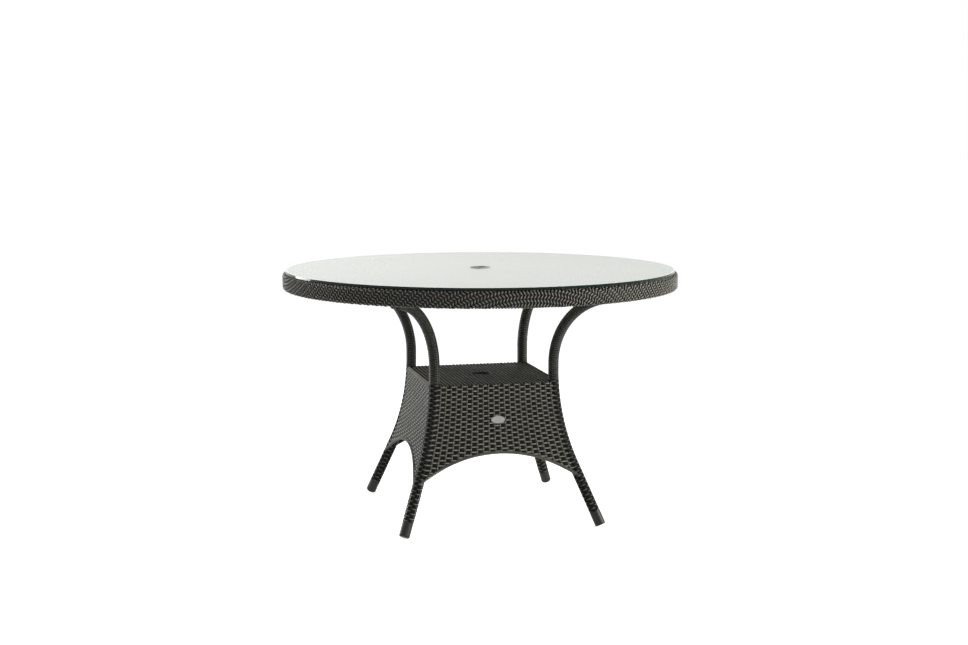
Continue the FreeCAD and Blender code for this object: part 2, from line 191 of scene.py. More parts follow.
def add_bar(name, sides, steps):
    """A closed bar of radius 1 along X, from 0 to 1, divided into equal steps."""
    deselect()
    bpy.ops.mesh.primitive_cylinder_add(vertices=sides, radius=1, depth=1, rotation=(0, math.pi / 2, 0))
    bar = bpy.context.object
    bar.name = name
    bpy.ops.object.transform_apply(location=True, rotation=True, scale=True)
    bpy.context.tool_settings.mesh_select_mode = (False, True, False)
    bpy.ops.object.mode_set(mode="EDIT")
    bpy.ops.mesh.select_all(action="DESELECT")
    shape = bmesh.from_edit_mesh(bar.data)
    for edge in shape.edges:
        edge.select_set(abs(edge.verts[0].co.x - edge.verts[1].co.x) > 0.5)
    bmesh.update_edit_mesh(bar.data)
    bpy.ops.mesh.subdivide(number_cuts=steps - 1)
    bpy.ops.object.mode_set(mode="OBJECT")
    places = corners(bar)
    places[:, 0] += 0.5
    place_corners(bar, places)
    return bar


def repeat(piece, count, offset):
    """Copies a piece in a row, in the same mesh."""
    pick(piece)
    row = piece.modifiers.new("Row", "ARRAY")
    row.use_relative_offset = False
    row.use_constant_offset = True
    row.constant_offset_displace = offset
    row.count = count
    bpy.ops.object.modifier_apply(modifier=row.name)


def join(first, *others):
    pick(first)
    for piece in others:
        piece.select_set(True)
    bpy.ops.object.join()
    return first


def cut_away(piece, unwanted):
    """Deletes the faces whose middles are unwanted, and closes the cut ends."""
    pick(piece)
    bpy.context.tool_settings.mesh_select_mode = (False, False, True)
    middles = np.empty(len(piece.data.polygons) * 3)
    piece.data.polygons.foreach_get("center", middles)
    chosen = unwanted(middles.reshape(-1, 3))
    bpy.ops.object.mode_set(mode="EDIT")
    bpy.ops.mesh.select_all(action="DESELECT")
    bpy.ops.object.mode_set(mode="OBJECT")
    piece.data.polygons.foreach_set("select", chosen)
    bpy.ops.object.mode_set(mode="EDIT")
    bpy.ops.mesh.delete(type="FACE")
    bpy.ops.mesh.select_all(action="SELECT")
    bpy.ops.mesh.fill_holes(sides=0)
    bpy.ops.object.mode_set(mode="OBJECT")


def face_outwards(piece):
    """Turns a piece's faces outwards after its axes were swapped."""
    pick(piece)
    bpy.ops.object.mode_set(mode="EDIT")
    bpy.ops.mesh.select_all(action="SELECT")
    bpy.ops.mesh.normals_make_consistent(inside=False)
    bpy.ops.object.mode_set(mode="OBJECT")


def paint(piece, material):
    """Gives a piece one finish all over."""
    piece.data.materials.clear()
    piece.data.materials.append(material)
    return piece


def finish_piece(piece, slot, *nodes):
    """Smooths a woven piece and puts it on the frame in the place of its nodes."""
    pick(piece)
    bpy.ops.object.shade_smooth()
    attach(piece, "frame")
    if nodes:
        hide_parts(*nodes)


def turned_copy(piece, name, degrees):
    """A copy of a piece with its own mesh, turned round the table's middle."""
    copy = piece.copy()
    copy.data = piece.data.copy()
    copy.name = name
    copy.data.transform(Matrix.Rotation(math.radians(degrees), 4, "Z"))
    bpy.context.scene.collection.objects.link(copy)
    return copy


class NodeTree:
    """Adds nodes to the tree of a material or of the world."""

    def __init__(self, tree):
        self.tree = tree

    def add(self, kind, inputs=None, **settings):
        """A new node. Each of its inputs gets a value or another node's output."""
        node = self.tree.nodes.new(kind)
        for key, value in settings.items():
            setattr(node, key, value)
        for key, value in (inputs or {}).items():
            if isinstance(value, bpy.types.NodeSocket):
                self.tree.links.new(value, node.inputs[key])
            else:
                node.inputs[key].default_value = value
        return node

    def math(self, operation, first, second=0.0):
        return self.add("ShaderNodeMath", {0: first, 1: second}, operation=operation).outputs[0]

    def seen(self):
        """1 for rays from the camera, from reflections and through clear pieces, and 0 for all others."""
        rays = self.add("ShaderNodeLightPath").outputs
        bent = self.math("MAXIMUM", rays["Is Glossy Ray"], rays["Is Transmission Ray"])
        return self.math("MAXIMUM", rays["Is Camera Ray"], bent)


class MaterialNodes(NodeTree):
    """Builds a new material's nodes round its shader."""

    def __init__(self, name):
        self.material = bpy.data.materials.new(name)
        self.material.use_nodes = True
        super().__init__(self.material.node_tree)
        self.shader = self.tree.nodes["Principled BSDF"]
        self.coordinates = self.add("ShaderNodeTexCoord").outputs

    def noise(self, scale, detail=2.0):
        return self.add("ShaderNodeTexNoise", {"Vector": self.coordinates["Object"],
                                               "Scale": scale, "Detail": detail}).outputs["Fac"]

    def spread(self, value, low, high):
        """Spreads a noise, most of which lies between 0.3 and 0.7, from low to high."""
        return self.add("ShaderNodeMapRange", {"Value": value, "To Min": low, "To Max": high,
                                               "From Min": 0.3, "From Max": 0.7}).outputs[0]

    def mix(self, factor, first, second):
        """Mixes two colours, which are inputs 6 and 7 of the node, into its output 2."""
        node = self.add("ShaderNodeMix", {0: factor}, data_type="RGBA")
        for index, colour in ((6, first), (7, second)):
            if isinstance(colour, bpy.types.NodeSocket):
                self.tree.links.new(colour, node.inputs[index])
            else:
                node.inputs[index].default_value = (*colour, 1)
        return node.outputs[2]

    def bump(self, height, strength, distance):
        bump = self.add("ShaderNodeBump", {"Height": height, "Strength": strength, "Distance": distance})
        self.link(bump.outputs[0], "Normal")

    def link(self, value, socket):
        self.tree.links.new(value, self.shader.inputs[socket])

    def set(self, socket, value):
        self.shader.inputs[socket].default_value = value


def strand_material(name, dark, light, highlight, roughness, mirror):
    """Extruded plastic strand: fine grooves along it, soft gloss, and a painted highlight that mixes a pale
    tone into its crests.
    """
    grooves = 150.0
    nodes = MaterialNodes(name)
    tone = nodes.spread(nodes.noise(scale=38.0), low=0.0, high=1.0)
    # Painted highlight: the strand's per-corner share, broken up a little by noise, mixes a pale tone into
    # the colour in place of gloss.
    crest = nodes.add("ShaderNodeAttribute", attribute_name="crest").outputs["Fac"]
    highlight_mask = nodes.math("MULTIPLY", crest, nodes.spread(nodes.noise(scale=120.0), low=0.75, high=1.0))
    nodes.link(nodes.mix(highlight_mask, nodes.mix(tone, dark, light), highlight), "Base Color")
    sheen = nodes.spread(nodes.noise(scale=160.0), low=roughness - 0.06, high=roughness + 0.06)
    nodes.link(sheen, "Roughness")
    across = nodes.add("ShaderNodeSeparateXYZ", {0: nodes.coordinates["UV"]}).outputs[0]
    groove = nodes.math("SINE", nodes.math("MULTIPLY", across, grooves))
    grain = nodes.add("ShaderNodeMath", {0: nodes.noise(scale=900.0), 1: 1.5, 2: groove},
                      operation="MULTIPLY_ADD")
    nodes.bump(grain.outputs[0], strength=0.06, distance=0.0004)
    nodes.set("Specular IOR Level", mirror)
    return nodes.material


def coated_metal_material(name, colour, roughness):
    """Powder coating: a fine orange-peel bump and a slightly uneven sheen."""
    nodes = MaterialNodes(name)
    light = tuple(min(1.0, channel * 1.5 + 0.004) for channel in colour)
    tone = nodes.spread(nodes.noise(scale=22.0), low=0.0, high=1.0)
    nodes.link(nodes.mix(tone, colour, light), "Base Color")
    sheen = nodes.spread(nodes.noise(scale=300.0), low=roughness - 0.05, high=roughness + 0.08)
    nodes.link(sheen, "Roughness")
    nodes.bump(nodes.noise(scale=1400.0), strength=0.15, distance=0.0002)
    nodes.set("Specular IOR Level", 0.15)
    return nodes.material


def bare_metal_material(name, colour, roughness, stretch):
    """Brushed or plated metal with its grain drawn out one way."""
    nodes = MaterialNodes(name)
    drawn = nodes.add("ShaderNodeMapping", {"Vector": nodes.coordinates["Object"], "Scale": stretch})
    grain = nodes.add("ShaderNodeTexNoise", {"Vector": drawn.outputs[0], "Scale": 400.0,
                                             "Detail": 3.0}).outputs["Fac"]
    light = tuple(min(1.0, channel * 1.15) for channel in colour)
    nodes.link(nodes.mix(grain, colour, light), "Base Color")
    nodes.link(nodes.spread(grain, low=roughness - 0.05, high=roughness + 0.1), "Roughness")
    nodes.bump(grain, strength=0.08, distance=0.0001)
    nodes.set("Metallic", 1.0)
    return nodes.material


def glass_material(top_colour, edge_colour):
    """Satin pale glass with a painted highlight on its outer rim, which shows deep green through its polished
    edge.
    """
    # Painted highlight: a near-white band on the outer 6 mm of the top stands in for light caught by the
    # rounded edge.
    rim_highlight_colour = (0.9, 0.92, 0.9)
    rim_highlight_start = glass_high.x - 0.006
    edge_start = glass_high.x - 0.0012
    edge_top = glass_high.z - 0.0002
    polish = 0.06
    nodes = MaterialNodes("Satin glass")
    x, y, height = nodes.add("ShaderNodeSeparateXYZ", {0: nodes.coordinates["Object"]}).outputs
    squares = nodes.math("ADD", nodes.math("MULTIPLY", x, x), nodes.math("MULTIPLY", y, y))
    radius = nodes.math("SQRT", squares)
    edge = nodes.math("MULTIPLY", nodes.math("GREATER_THAN", radius, edge_start),
                      nodes.math("LESS_THAN", height, edge_top))
    drift = nodes.spread(nodes.noise(scale=1.6, detail=1.0), low=0.0, high=1.0)
    paler = tuple(min(1.0, channel * 1.03) for channel in top_colour)
    rim_highlight = nodes.math("GREATER_THAN", radius, rim_highlight_start)
    top = nodes.mix(rim_highlight, nodes.mix(drift, top_colour, paler), rim_highlight_colour)
    nodes.link(nodes.mix(edge, top, edge_colour), "Base Color")
    satin = nodes.spread(nodes.noise(scale=700.0), low=0.24, high=0.3)
    sheen = nodes.add("ShaderNodeMix", {0: edge, 2: satin, 3: polish}, data_type="FLOAT")
    nodes.link(sheen.outputs[0], "Roughness")
    nodes.bump(nodes.noise(scale=1800.0), strength=0.03, distance=0.0001)
    nodes.set("Specular IOR Level", 0.2)
    return nodes.material


def rubber_material(name, colour):
    """Matt rubber with a fine cast grain."""
    nodes = MaterialNodes(name)
    lighter = tuple(channel * 1.4 for channel in colour)
    nodes.link(nodes.mix(nodes.noise(scale=90.0), colour, lighter), "Base Color")
    nodes.link(nodes.spread(nodes.noise(scale=500.0), low=0.6, high=0.8), "Roughness")
    nodes.bump(nodes.noise(scale=1600.0), strength=0.2, distance=0.0002)
    return nodes.material


def cap_material(name, colour):
    """Moulded plastic with a soft satin gloss."""
    nodes = MaterialNodes(name)
    lighter = tuple(channel * 1.4 for channel in colour)
    tone = nodes.spread(nodes.noise(scale=30.0), low=0.0, high=1.0)
    nodes.link(nodes.mix(tone, colour, lighter), "Base Color")
    nodes.link(nodes.spread(nodes.noise(scale=420.0), low=0.34, high=0.46), "Roughness")
    nodes.bump(nodes.noise(scale=1100.0), strength=0.1, distance=0.0002)
    nodes.set("Specular IOR Level", 0.25)
    return nodes.material


def colour_setting(name, description, default):
    return FloatVectorProperty(name=name, description=description, default=default,
                               subtype="COLOR", min=0, max=1)


class TableWeaveSettings(bpy.types.PropertyGroup):
    """The sizes of the strands and of the weaves."""

    strand_thickness: FloatProperty(
        name="Strand thickness", description="Thickness of the round strands",
        default=0.0038, min=0.002, max=0.006, unit="LENGTH")
    row_pitch: FloatProperty(
        name="Row pitch", description="Distance from one crossing strand to the next",
        default=0.0074, min=0.005, max=0.012, unit="LENGTH")
    panel_columns: IntProperty(
        name="Panel columns", description="Number of upright tapes between two legs",
        default=23, min=9, max=41)
    tape_share: FloatProperty(
        name="Tape width", description="Part of a column that its flat tape fills, beside its round strand",
        default=0.77, min=0.5, max=0.9, subtype="FACTOR")
    corner_rise: FloatProperty(
        name="Corner rise", description="How far the lowest rows climb at the legs",
        default=0.014, min=0.0, max=0.03, unit="LENGTH")
    leg_tapes: IntProperty(
        name="Leg tapes", description="Number of lengthwise tapes round a leg, an even number",
        default=6, min=4, max=8)
    apron_strokes: IntProperty(
        name="Apron strokes", description="Number of slanted strands that cross a line round the top ring",
        default=332, min=200, max=600)
    apron_rows: IntProperty(
        name="Apron rows", description="Number of rows round the top ring's section where they lie level",
        default=16, min=8, max=24)
    apron_tip: FloatProperty(
        name="Apron tip", description="How far the rows tip from level between the sides of the table",
        default=0.85, min=0.0, max=1.0, subtype="ANGLE")
    shelf_tapes: IntProperty(
        name="Shelf tapes", description="Number of tapes side by side in the shelf",
        default=35, min=20, max=50)


class TableFinishSettings(bpy.types.PropertyGroup):
    """The colours of the table and the strength of its light."""

    strand_dark: colour_setting(
        "Strand dark", "Darker tone of the woven strands", (0.026, 0.0255, 0.0205))
    strand_light: colour_setting(
        "Strand light", "Lighter tone of the woven strands", (0.048, 0.047, 0.038))
    # Painted highlight: the pale tone mixed into the strands, mostly where they stand forward, in place of
    # gloss.
    highlight_colour: colour_setting(
        "Strand highlights", "Painted highlight tone of the round strands", (0.30, 0.29, 0.245))
    tape_dark: colour_setting(
        "Tape dark", "Darker tone of the flat tapes", (0.0055, 0.0062, 0.0048))
    tape_light: colour_setting(
        "Tape light", "Lighter tone of the flat tapes", (0.0100, 0.0105, 0.0085))
    cap_colour: colour_setting(
        "Foot caps", "Colour of the moulded foot caps", (0.012, 0.013, 0.0105))
    coating_colour: colour_setting(
        "Coating", "Colour of the frame's powder coating", (0.010, 0.0105, 0.009))
    glass_colour: colour_setting(
        "Glass", "Colour of the glass from above", (0.650, 0.675, 0.625))
    glass_edge_colour: colour_setting(
        "Glass edge", "Colour in the depth of the glass edge", (0.0006, 0.012, 0.006))
    light_strength: FloatProperty(
        name="Light", description="Strength of all studio lights together", default=1.0, min=0.1, max=4.0)


def weave():
    return bpy.context.scene.table_weave


def finish():
    return bpy.context.scene.table_finish


# For each strand finish, the settings with its darker, lighter and painted highlight tones, how many times
# brighter its painted highlight tone is than its setting, its roughness and how strongly it mirrors
strand_finishes = {
    "Round strand": ("strand_dark", "strand_light", "highlight_colour", 1.0, 0.32, 0.2),
    "Leg strand": ("tape_light", "strand_dark", "highlight_colour", 1.0, 0.3, 0.2),
    "Ring strand": ("tape_light", "strand_dark", "highlight_colour", 1.3, 0.4, 0.08),
    "Flat tape": ("tape_dark", "tape_light", "tape_light", 1.0, 0.45, 0.05),
    "Shelf strand": ("strand_dark", "strand_light", "highlight_colour", 1.0, 0.55, 0.05),
    "Shelf tape": ("tape_dark", "tape_light", "tape_light", 1.0, 0.6, 0.02),
}


def strand_finish(name):
    """A finish of the strands or tapes, which is made when it is first asked for."""
    made = bpy.data.materials.get(name)
    if made:
        return made
    *settings, highlight_gain, roughness, mirror = strand_finishes[name]
    dark, light, highlight = (getattr(finish(), setting)[:] for setting in settings)
    highlight = tuple(channel * highlight_gain for channel in highlight)
    return strand_material(name, dark, light, highlight, roughness, mirror)


def half_round(places, half_width, crown, under):
    """Shapes a bar's round section, its X along, into a flat tape with a rounded top."""
    shaped = places.copy()
    shaped[:, 1] = places[:, 1] * half_width
    shaped[:, 2] = np.where(places[:, 2] > 0, places[:, 2] * crown, places[:, 2] * under)
    return shaped


def sway_out(places, column, row, forward, dip):
    """Lets an upright strand bulge in one row and dive under the crossing strand in the next.

    Gives each corner's share of painted highlight, most where the strand bulges forward and none where it
    dives.
    """
    dive_power = 2.6
    passing = np.cos(math.pi * row) * np.cos(math.pi * column)
    places[:, 2] += forward - dip * ((1 + passing) / 2) ** dive_power
    return 0.8 - 1.2 * ((1 + passing) / 2)


def crossing_strands(columns, rows, radius):
    """The level strands of flat cloth, which pass over and under its columns in turn."""
    sway = 0.0013
    highlight_share = 1.5
    crossing = add_bar("Crossing strand", 8, columns * 4)
    places = corners(crossing)
    places[:, 0] = (places[:, 0] - 0.5) * columns
    places[:, 1] *= radius / weave().row_pitch
    places[:, 2] *= radius
    place_corners(crossing, places)
    repeat(crossing, rows, (0, 1, 0))
    places = corners(crossing)
    row = np.round(places[:, 1])
    passing = soft_square(np.cos(math.pi * places[:, 0])) * np.cos(math.pi * row)
    places[:, 2] += sway * passing
    place_corners(crossing, places)
    # Painted highlight: the crossing strands are lighter where they pass in front of the columns.
    mark_painted_highlights(crossing, passing * highlight_share)
    return paint(crossing, strand_finish("Round strand"))


def upright_strands(name, columns, rows, middle, half_width, crown, finish_name):
    """One strand or tape in each column of flat cloth, its middle a share of a column aside."""
    bar = add_bar(name, 8, rows * 4)
    places = half_round(corners(bar), half_width, crown, underside)
    places = np.stack([places[:, 1] + middle, places[:, 0] * rows - 0.5, places[:, 2]], axis=1)
    place_corners(bar, places)
    repeat(bar, columns, (1, 0, 0))
    places = corners(bar)
    places[:, 0] -= (columns - 1) / 2
    column = np.round(places[:, 0] - middle)
    crests = sway_out(places, column, places[:, 1], forward=0.0010, dip=0.0036)
    place_corners(bar, places)
    # Painted highlight on the bulges of the upright tapes and strands.
    mark_painted_highlights(bar, crests)
    return paint(bar, strand_finish(finish_name))


def plain_weave(columns, rows):
    """Flat cloth: X counts columns, Y counts rows downwards, Z is out of the cloth in metres."""
    sizes = weave()
    radius = sizes.strand_thickness / 2
    share = sizes.tape_share
    overlap = 0.005
    tape_crown = 0.0012
    crossing = crossing_strands(columns, rows, radius)
    tapes = upright_strands("Upright tape", columns, rows, (1 - share) / 2, share / 2 + overlap,
                            tape_crown, "Flat tape")
    strands = upright_strands("Upright strand", columns, rows, -share / 2, (1 - share) / 2 + overlap,
                              radius, "Round strand")
    cloth = join(crossing, tapes, strands)
    face_outwards(cloth)
    return cloth


class TABLE_OT_weave_panels(bpy.types.Operator):
    """Weaves the four arched panels below the shelf"""

    bl_idname = "table.weave_panels"
    bl_label = "Weave Panels"

    def execute(self, context):
        rows = 40
        shelf_overlap = 0.006
        leg_overlap = 0.006
        arch_reach = 0.4
        arch_points = 801
        sizes = weave()
        columns = sizes.panel_columns
        edge_height = shelf_high.z - shelf_overlap
        cloth = plain_weave(columns, rows)

        def laid(flat):
            """Places of flat cloth once it hangs between the front legs."""
            across = flat[:, 0] / (columns / 2)
            depth = np.clip(flat[:, 1] / rows, 0, 1)
            height = edge_height - flat[:, 1] * sizes.row_pitch
            height += sizes.corner_rise * depth ** 2 * np.abs(across) ** 3
            slope = flare_slope(height)
            length = np.sqrt(1 + slope ** 2)
            out = flare(height) + weave_middle + flat[:, 2] / length
            return np.stack([across * flare(height), -out, height + flat[:, 2] * slope / length], axis=1)

        arch_places = arch_line(np.linspace(-arch_reach, arch_reach, arch_points))

        def beyond_edges(middles):
            """Whether places lie below the arch or past the middle of a leg."""
            place = laid(middles)
            arch = arch_height + np.interp(place[:, 0], arch_places[0], arch_places[1]) * math.cos(arch_tilt)
            low = place[:, 2] < arch
            aside = np.abs(place[:, 0]) > flare(place[:, 2]) - leg_overlap
            return low | aside

        cut_away(cloth, beyond_edges)
        place_corners(cloth, laid(corners(cloth)))
        face_outwards(cloth)
        for side, angle in side_angles.items():
            panel = turned_copy(cloth, "woven_panel_" + side, angle)
            finish_piece(panel, "woven_strand", "panel_" + side)
        bpy.data.objects.remove(cloth)
        return {"FINISHED"}


def strand_ring(name, around, sides):
    """A ring of strand round Z, whose middle circle has radius 1."""
    deselect()
    bpy.ops.mesh.primitive_torus_add(major_segments=around, minor_segments=sides,
                                     major_radius=1, minor_radius=ring_strand_radius)
    ring = bpy.context.object
    ring.name = name
    return ring


def unrolled(places):
    """Angle round Z, distance out of the middle circle and height, the last two as parts of the strand."""
    angle = np.arctan2(places[:, 1], places[:, 0])
    out = (np.hypot(places[:, 0], places[:, 1]) - 1) / ring_strand_radius
    return angle, out, places[:, 2] / ring_strand_radius


def leg_places(angle, radius, distance):
    """Places round the centre line of a leg that stands towards +X."""
    centre_radius, centre_height, run, climb = leg_line(distance)
    x = centre_radius + radius * np.cos(angle) * climb
    y = radius * np.sin(angle)
    z = centre_height - radius * np.cos(angle) * run
    return np.stack([x, y, z], axis=1)


class TABLE_OT_wrap_legs(bpy.types.Operator):
    """Wraps the four legs from the foot caps to the top ring"""

    bl_idname = "table.wrap_legs"
    bl_label = "Wrap Legs"

    def wound(self, name, start, end, pitch, sway, highlight):
        """Rings of strand one above another, each passing in front of every other tape."""
        depth = 0.0012
        half_thickness = 0.0013
        half_height = 0.0019
        flat_thickness = 0.1
        tapes = weave().leg_tapes
        count = int(round((end - start) / pitch))
        ring = strand_ring(name, tapes * 4, 6)
        angle, out, height = unrolled(corners(ring))
        places = np.stack([np.cos(angle) * (1 + out * flat_thickness),
                           np.sin(angle) * (1 + out * flat_thickness),
                           height * half_height / pitch], axis=1)
        place_corners(ring, places)
        repeat(ring, count, (0, 0, 1))
        places = corners(ring)
        row = np.round(places[:, 2])
        angle = np.arctan2(places[:, 1], places[:, 0])
        out = (np.hypot(places[:, 0], places[:, 1]) - 1) / flat_thickness
        passing = soft_square(np.cos(angle * tapes / 2)) * np.cos(math.pi * row)
        radius = leg_radius - depth + out * half_thickness + sway * passing
        # Painted highlight: each ring is lighter where it passes over a tape, spots that stand in for gloss.
        mark_painted_highlights(ring, highlight * passing)
        distance = start + (places[:, 2] + 0.5) * (end - start) / count
        place_corners(ring, leg_places(angle, radius, distance))
        return paint(ring, strand_finish("Leg strand"))

    def lengthwise(self, name, start, end, pitch, half_width, crown, sway):
        """Tapes along the leg that dive under every other ring."""
        depth = 0.0011
        tape_underside = 0.0006
        dive_power = 2.2
        tapes = weave().leg_tapes
        count = int(round((end - start) / pitch))
        tape = add_bar(name, 8, count * 4)
        places = half_round(corners(tape), half_width / leg_radius, crown, tape_underside)
        places = np.stack([places[:, 1], places[:, 2], places[:, 0] * count - 0.5], axis=1)
        place_corners(tape, places)
        repeat(tape, tapes, (math.tau / tapes, 0, 0))
        places = corners(tape)
        index = np.round(places[:, 0] * tapes / math.tau)
        passing = np.cos(math.pi * index) * np.cos(math.pi * places[:, 2])
        radius = leg_radius - depth + places[:, 1] + sway * (0.5 - 2 * ((1 + passing) / 2) ** dive_power)
        distance = start + (places[:, 2] + 0.5) * (end - start) / count
        place_corners(tape, leg_places(places[:, 0], radius, distance))
        return paint(tape, strand_finish("Flat tape"))

    def execute(self, context):
        cap_overlap = 0.001
        open_end_drop = 0.03
        wrapped_turn = 1.472
        sizes = weave()
        start = foot_cap_length - cap_overlap
        middle = lean_length + lower_bend_length - open_end_drop
        end = lean_length + lower_bend_length + waist_length + upper_bend_radius * wrapped_turn
        open_pitch = sizes.row_pitch
        tight_pitch = sizes.strand_thickness * 0.97
        wrap = join(
            self.wound("Lower rings", start, middle, open_pitch, sway=0.0007, highlight=0.42),
            self.lengthwise("Lower tapes", start, middle, open_pitch,
                            half_width=0.0063, crown=0.0013, sway=0.0009),
            self.wound("Upper rings", middle, end, tight_pitch, sway=0.0003, highlight=0.22),
            self.lengthwise("Upper tapes", middle, end, tight_pitch,
                            half_width=0.0016, crown=0.0011, sway=0.0008))
        face_outwards(wrap)
        for side, angle in leg_angles.items():
            leg = turned_copy(wrap, "leg_wrap_" + side, angle)
            finish_piece(leg, "woven_strand", "leg_weave_" + side)
        bpy.data.objects.remove(wrap)
        return {"FINISHED"}


class TABLE_OT_wrap_hems(bpy.types.Operator):
    """Winds strand round the rod in the hem of each arch"""

    bl_idname = "table.wrap_hems"
    bl_label = "Wrap Hems"

    def execute(self, context):
        reach = 0.2613
        middle_radius = arch_rod_radius * 0.92
        half_thickness = 0.0012
        half_height = 0.47
        highlight_share = 0.3
        pitch = weave().strand_thickness * 0.8
        count = int(round(2 * reach / pitch))
        ring = strand_ring("Hem strand", 12, 6)
        angle, out, along = unrolled(corners(ring))
        radius = middle_radius + out * half_thickness
        place_corners(ring, np.stack([radius * np.cos(angle), radius * np.sin(angle),
                                      along * half_height], axis=1))
        repeat(ring, count, (0, 0, 1))
        places = corners(ring)
        distance = (places[:, 2] + 0.5) * (2 * reach / count) - reach
        x, rise, run, climb = arch_line(distance)
        x -= places[:, 0] * climb
        rise += places[:, 0] * run
        out = places[:, 1] + float(flare(arch_height)) + panel_middle
        y = -out + rise * math.sin(arch_tilt)
        z = arch_height + rise * math.cos(arch_tilt)
        place_corners(ring, np.stack([x, y, z], axis=1))
        face_outwards(ring)
        # The painted highlight tone is mixed evenly into the whole hem.
        mark_painted_highlights(ring, np.full(len(places), highlight_share))
        paint(ring, strand_finish("Round strand"))
        for side, angle in side_angles.items():
            hem = turned_copy(ring, "arch_hem_" + side, angle)
            finish_piece(hem, "woven_hem", "arch_rod_" + side)
        bpy.data.objects.remove(ring)
        return {"FINISHED"}


def ring_section(inset):
    """The top ring's rounded section: running length, radius, height and outward direction at each point.

    The outer face lies between the last point of the first corner and the first of the second.
    """
    rounding = ring_rounding - inset
    inner, outer = ring_high.x - ring_width + inset, ring_high.x - inset
    bottom, top = ring_low.z + inset, ring_high.z - inset
    points = []
    centres = [(outer - rounding, top - rounding, 90), (outer - rounding, bottom + rounding, 0),
               (inner + rounding, bottom + rounding, -90), (inner + rounding, top - rounding, -180)]
    for x, z, first in centres:
        for angle in np.radians(np.linspace(first, first - 90, corner_points)):
            points.append((x + rounding * math.cos(angle), z + rounding * math.sin(angle),
                           math.cos(angle), math.sin(angle)))
    points.append(points[0])
    points = np.array(points)
    steps = np.hypot(np.diff(points[:, 0]), np.diff(points[:, 1]))
    return np.concatenate([[0], np.cumsum(steps)]), points


class TABLE_OT_weave_apron(bpy.types.Operator):
    """Weaves the herringbone round the top ring"""

    bl_idname = "table.weave_apron"
    bl_label = "Weave Apron"

    half_length = 0.45

    def stroke(self):
        """One upright strand of the herringbone: X counts strokes, Y counts rows and Z is out of the ring."""
        half_width = 0.27
        crown = 0.0024
        end_drop = 0.0013
        deselect()
        bpy.ops.mesh.primitive_uv_sphere_add(segments=8, ring_count=6, radius=1, rotation=(math.pi / 2, 0, 0))
        bpy.ops.object.transform_apply(location=False, rotation=True, scale=False)
        bead = bpy.context.object
        x, y, z = corners(bead).T
        fullness = np.sqrt(np.clip(1 - y ** 2, 1e-6, 1))
        full = np.clip(1 - np.abs(y) ** 4, 0, 1) ** 0.5 / fullness
        out = z * full * crown - end_drop * y ** 2
        # Painted highlight: each stroke is lighter on its outward face, most at its middle.
        highlight_mask = (1.3 - 1.1 * y ** 2) * np.clip(z, 0, 1) ** 3
        mark_painted_highlights(bead, highlight_mask)
        place_corners(bead, np.stack([x * full * half_width, y * self.half_length, out], axis=1))
        return bead

    def execute(self, context):
        inset = 0.0014
        seam_drop = 0.058
        tipped_reach = 0.035
        half_rows = 0.59
        half_slant = 0.38
        first_drift = 0.29
        steps = 1441
        sizes = weave()
        count = sizes.apron_strokes
        lengths, section = ring_section(inset)
        around = lengths[-1]
        middle = (lengths[corner_points - 1] + lengths[corner_points]) / 2
        row_height = around / sizes.apron_rows
        turns = np.linspace(0, math.tau, steps)
        tips = sizes.apron_tip * np.sin(2 * turns)
        numbers = np.cumsum(np.cos(tips)) - 1
        numbers *= count / numbers[-1]
        drifts = -np.cumsum(np.sin(tips)) * ring_high.x * turns[1] / row_height - first_drift

        def along(number):
            """Turn round the ring, tip of the rows and drift of the rows at a stroke's number."""
            turn = np.interp(number % count, numbers, turns)
            return turn, sizes.apron_tip * np.sin(2 * turn), np.interp(turn, turns, drifts)

        def row_number(flat):
            """Rows are counted from the even one nearest to the middle of the outer face."""
            drift = along(np.round(flat[:, 0]))[2]
            return np.round(flat[:, 1]) + 2 * np.round(drift / 2)

        def past_seam(middles):
            """Whether strokes lie beyond a line on the ring's top, where all rows start and end."""
            turn, tip, drift = along(np.round(middles[:, 0]))
            down = (row_number(middles) - drift) * row_height * np.cos(tip)
            return (down < -seam_drop) | (down > around - seam_drop)

        def laid(flat):
            """Places of flat strokes once they are slanted and wound round the ring."""
            row = np.round(flat[:, 1])
            share = (flat[:, 1] - row) / self.half_length
            turn, tip, drift = along(flat[:, 0] + (1 - 2 * (row % 2)) * half_slant * share)
            down = (row_number(flat) + half_rows * share - drift) * row_height
            turn += -np.clip(down, -tipped_reach, tipped_reach) * np.sin(tip) / ring_high.x - math.pi / 2
            run = (middle + down * np.cos(tip)) % around
            radius, height, out_x, out_z = (np.interp(run, lengths, section[:, k]) for k in range(4))
            radius += flat[:, 2] * out_x
            height += flat[:, 2] * out_z
            return np.stack([radius * np.cos(turn), radius * np.sin(turn), height], axis=1)

        strip = paint(self.stroke(), strand_finish("Ring strand"))
        repeat(strip, count, (1, 0, 0))
        for part, first, last in (("top", -9, -4), ("outer", -3, 3), ("under", 4, 9), ("inner", 10, 17)):
            band = turned_copy(strip, "apron_weave_" + part, 0)
            repeat(band, last - first + 1, (0, 1, 0))
            band.data.transform(Matrix.Translation((0, first, 0)))
            cut_away(band, past_seam)
            place_corners(band, laid(corners(band)))
            face_outwards(band)
            finish_piece(band, "woven_strand", "ring_weave")
        bpy.data.objects.remove(strip)
        return {"FINISHED"}


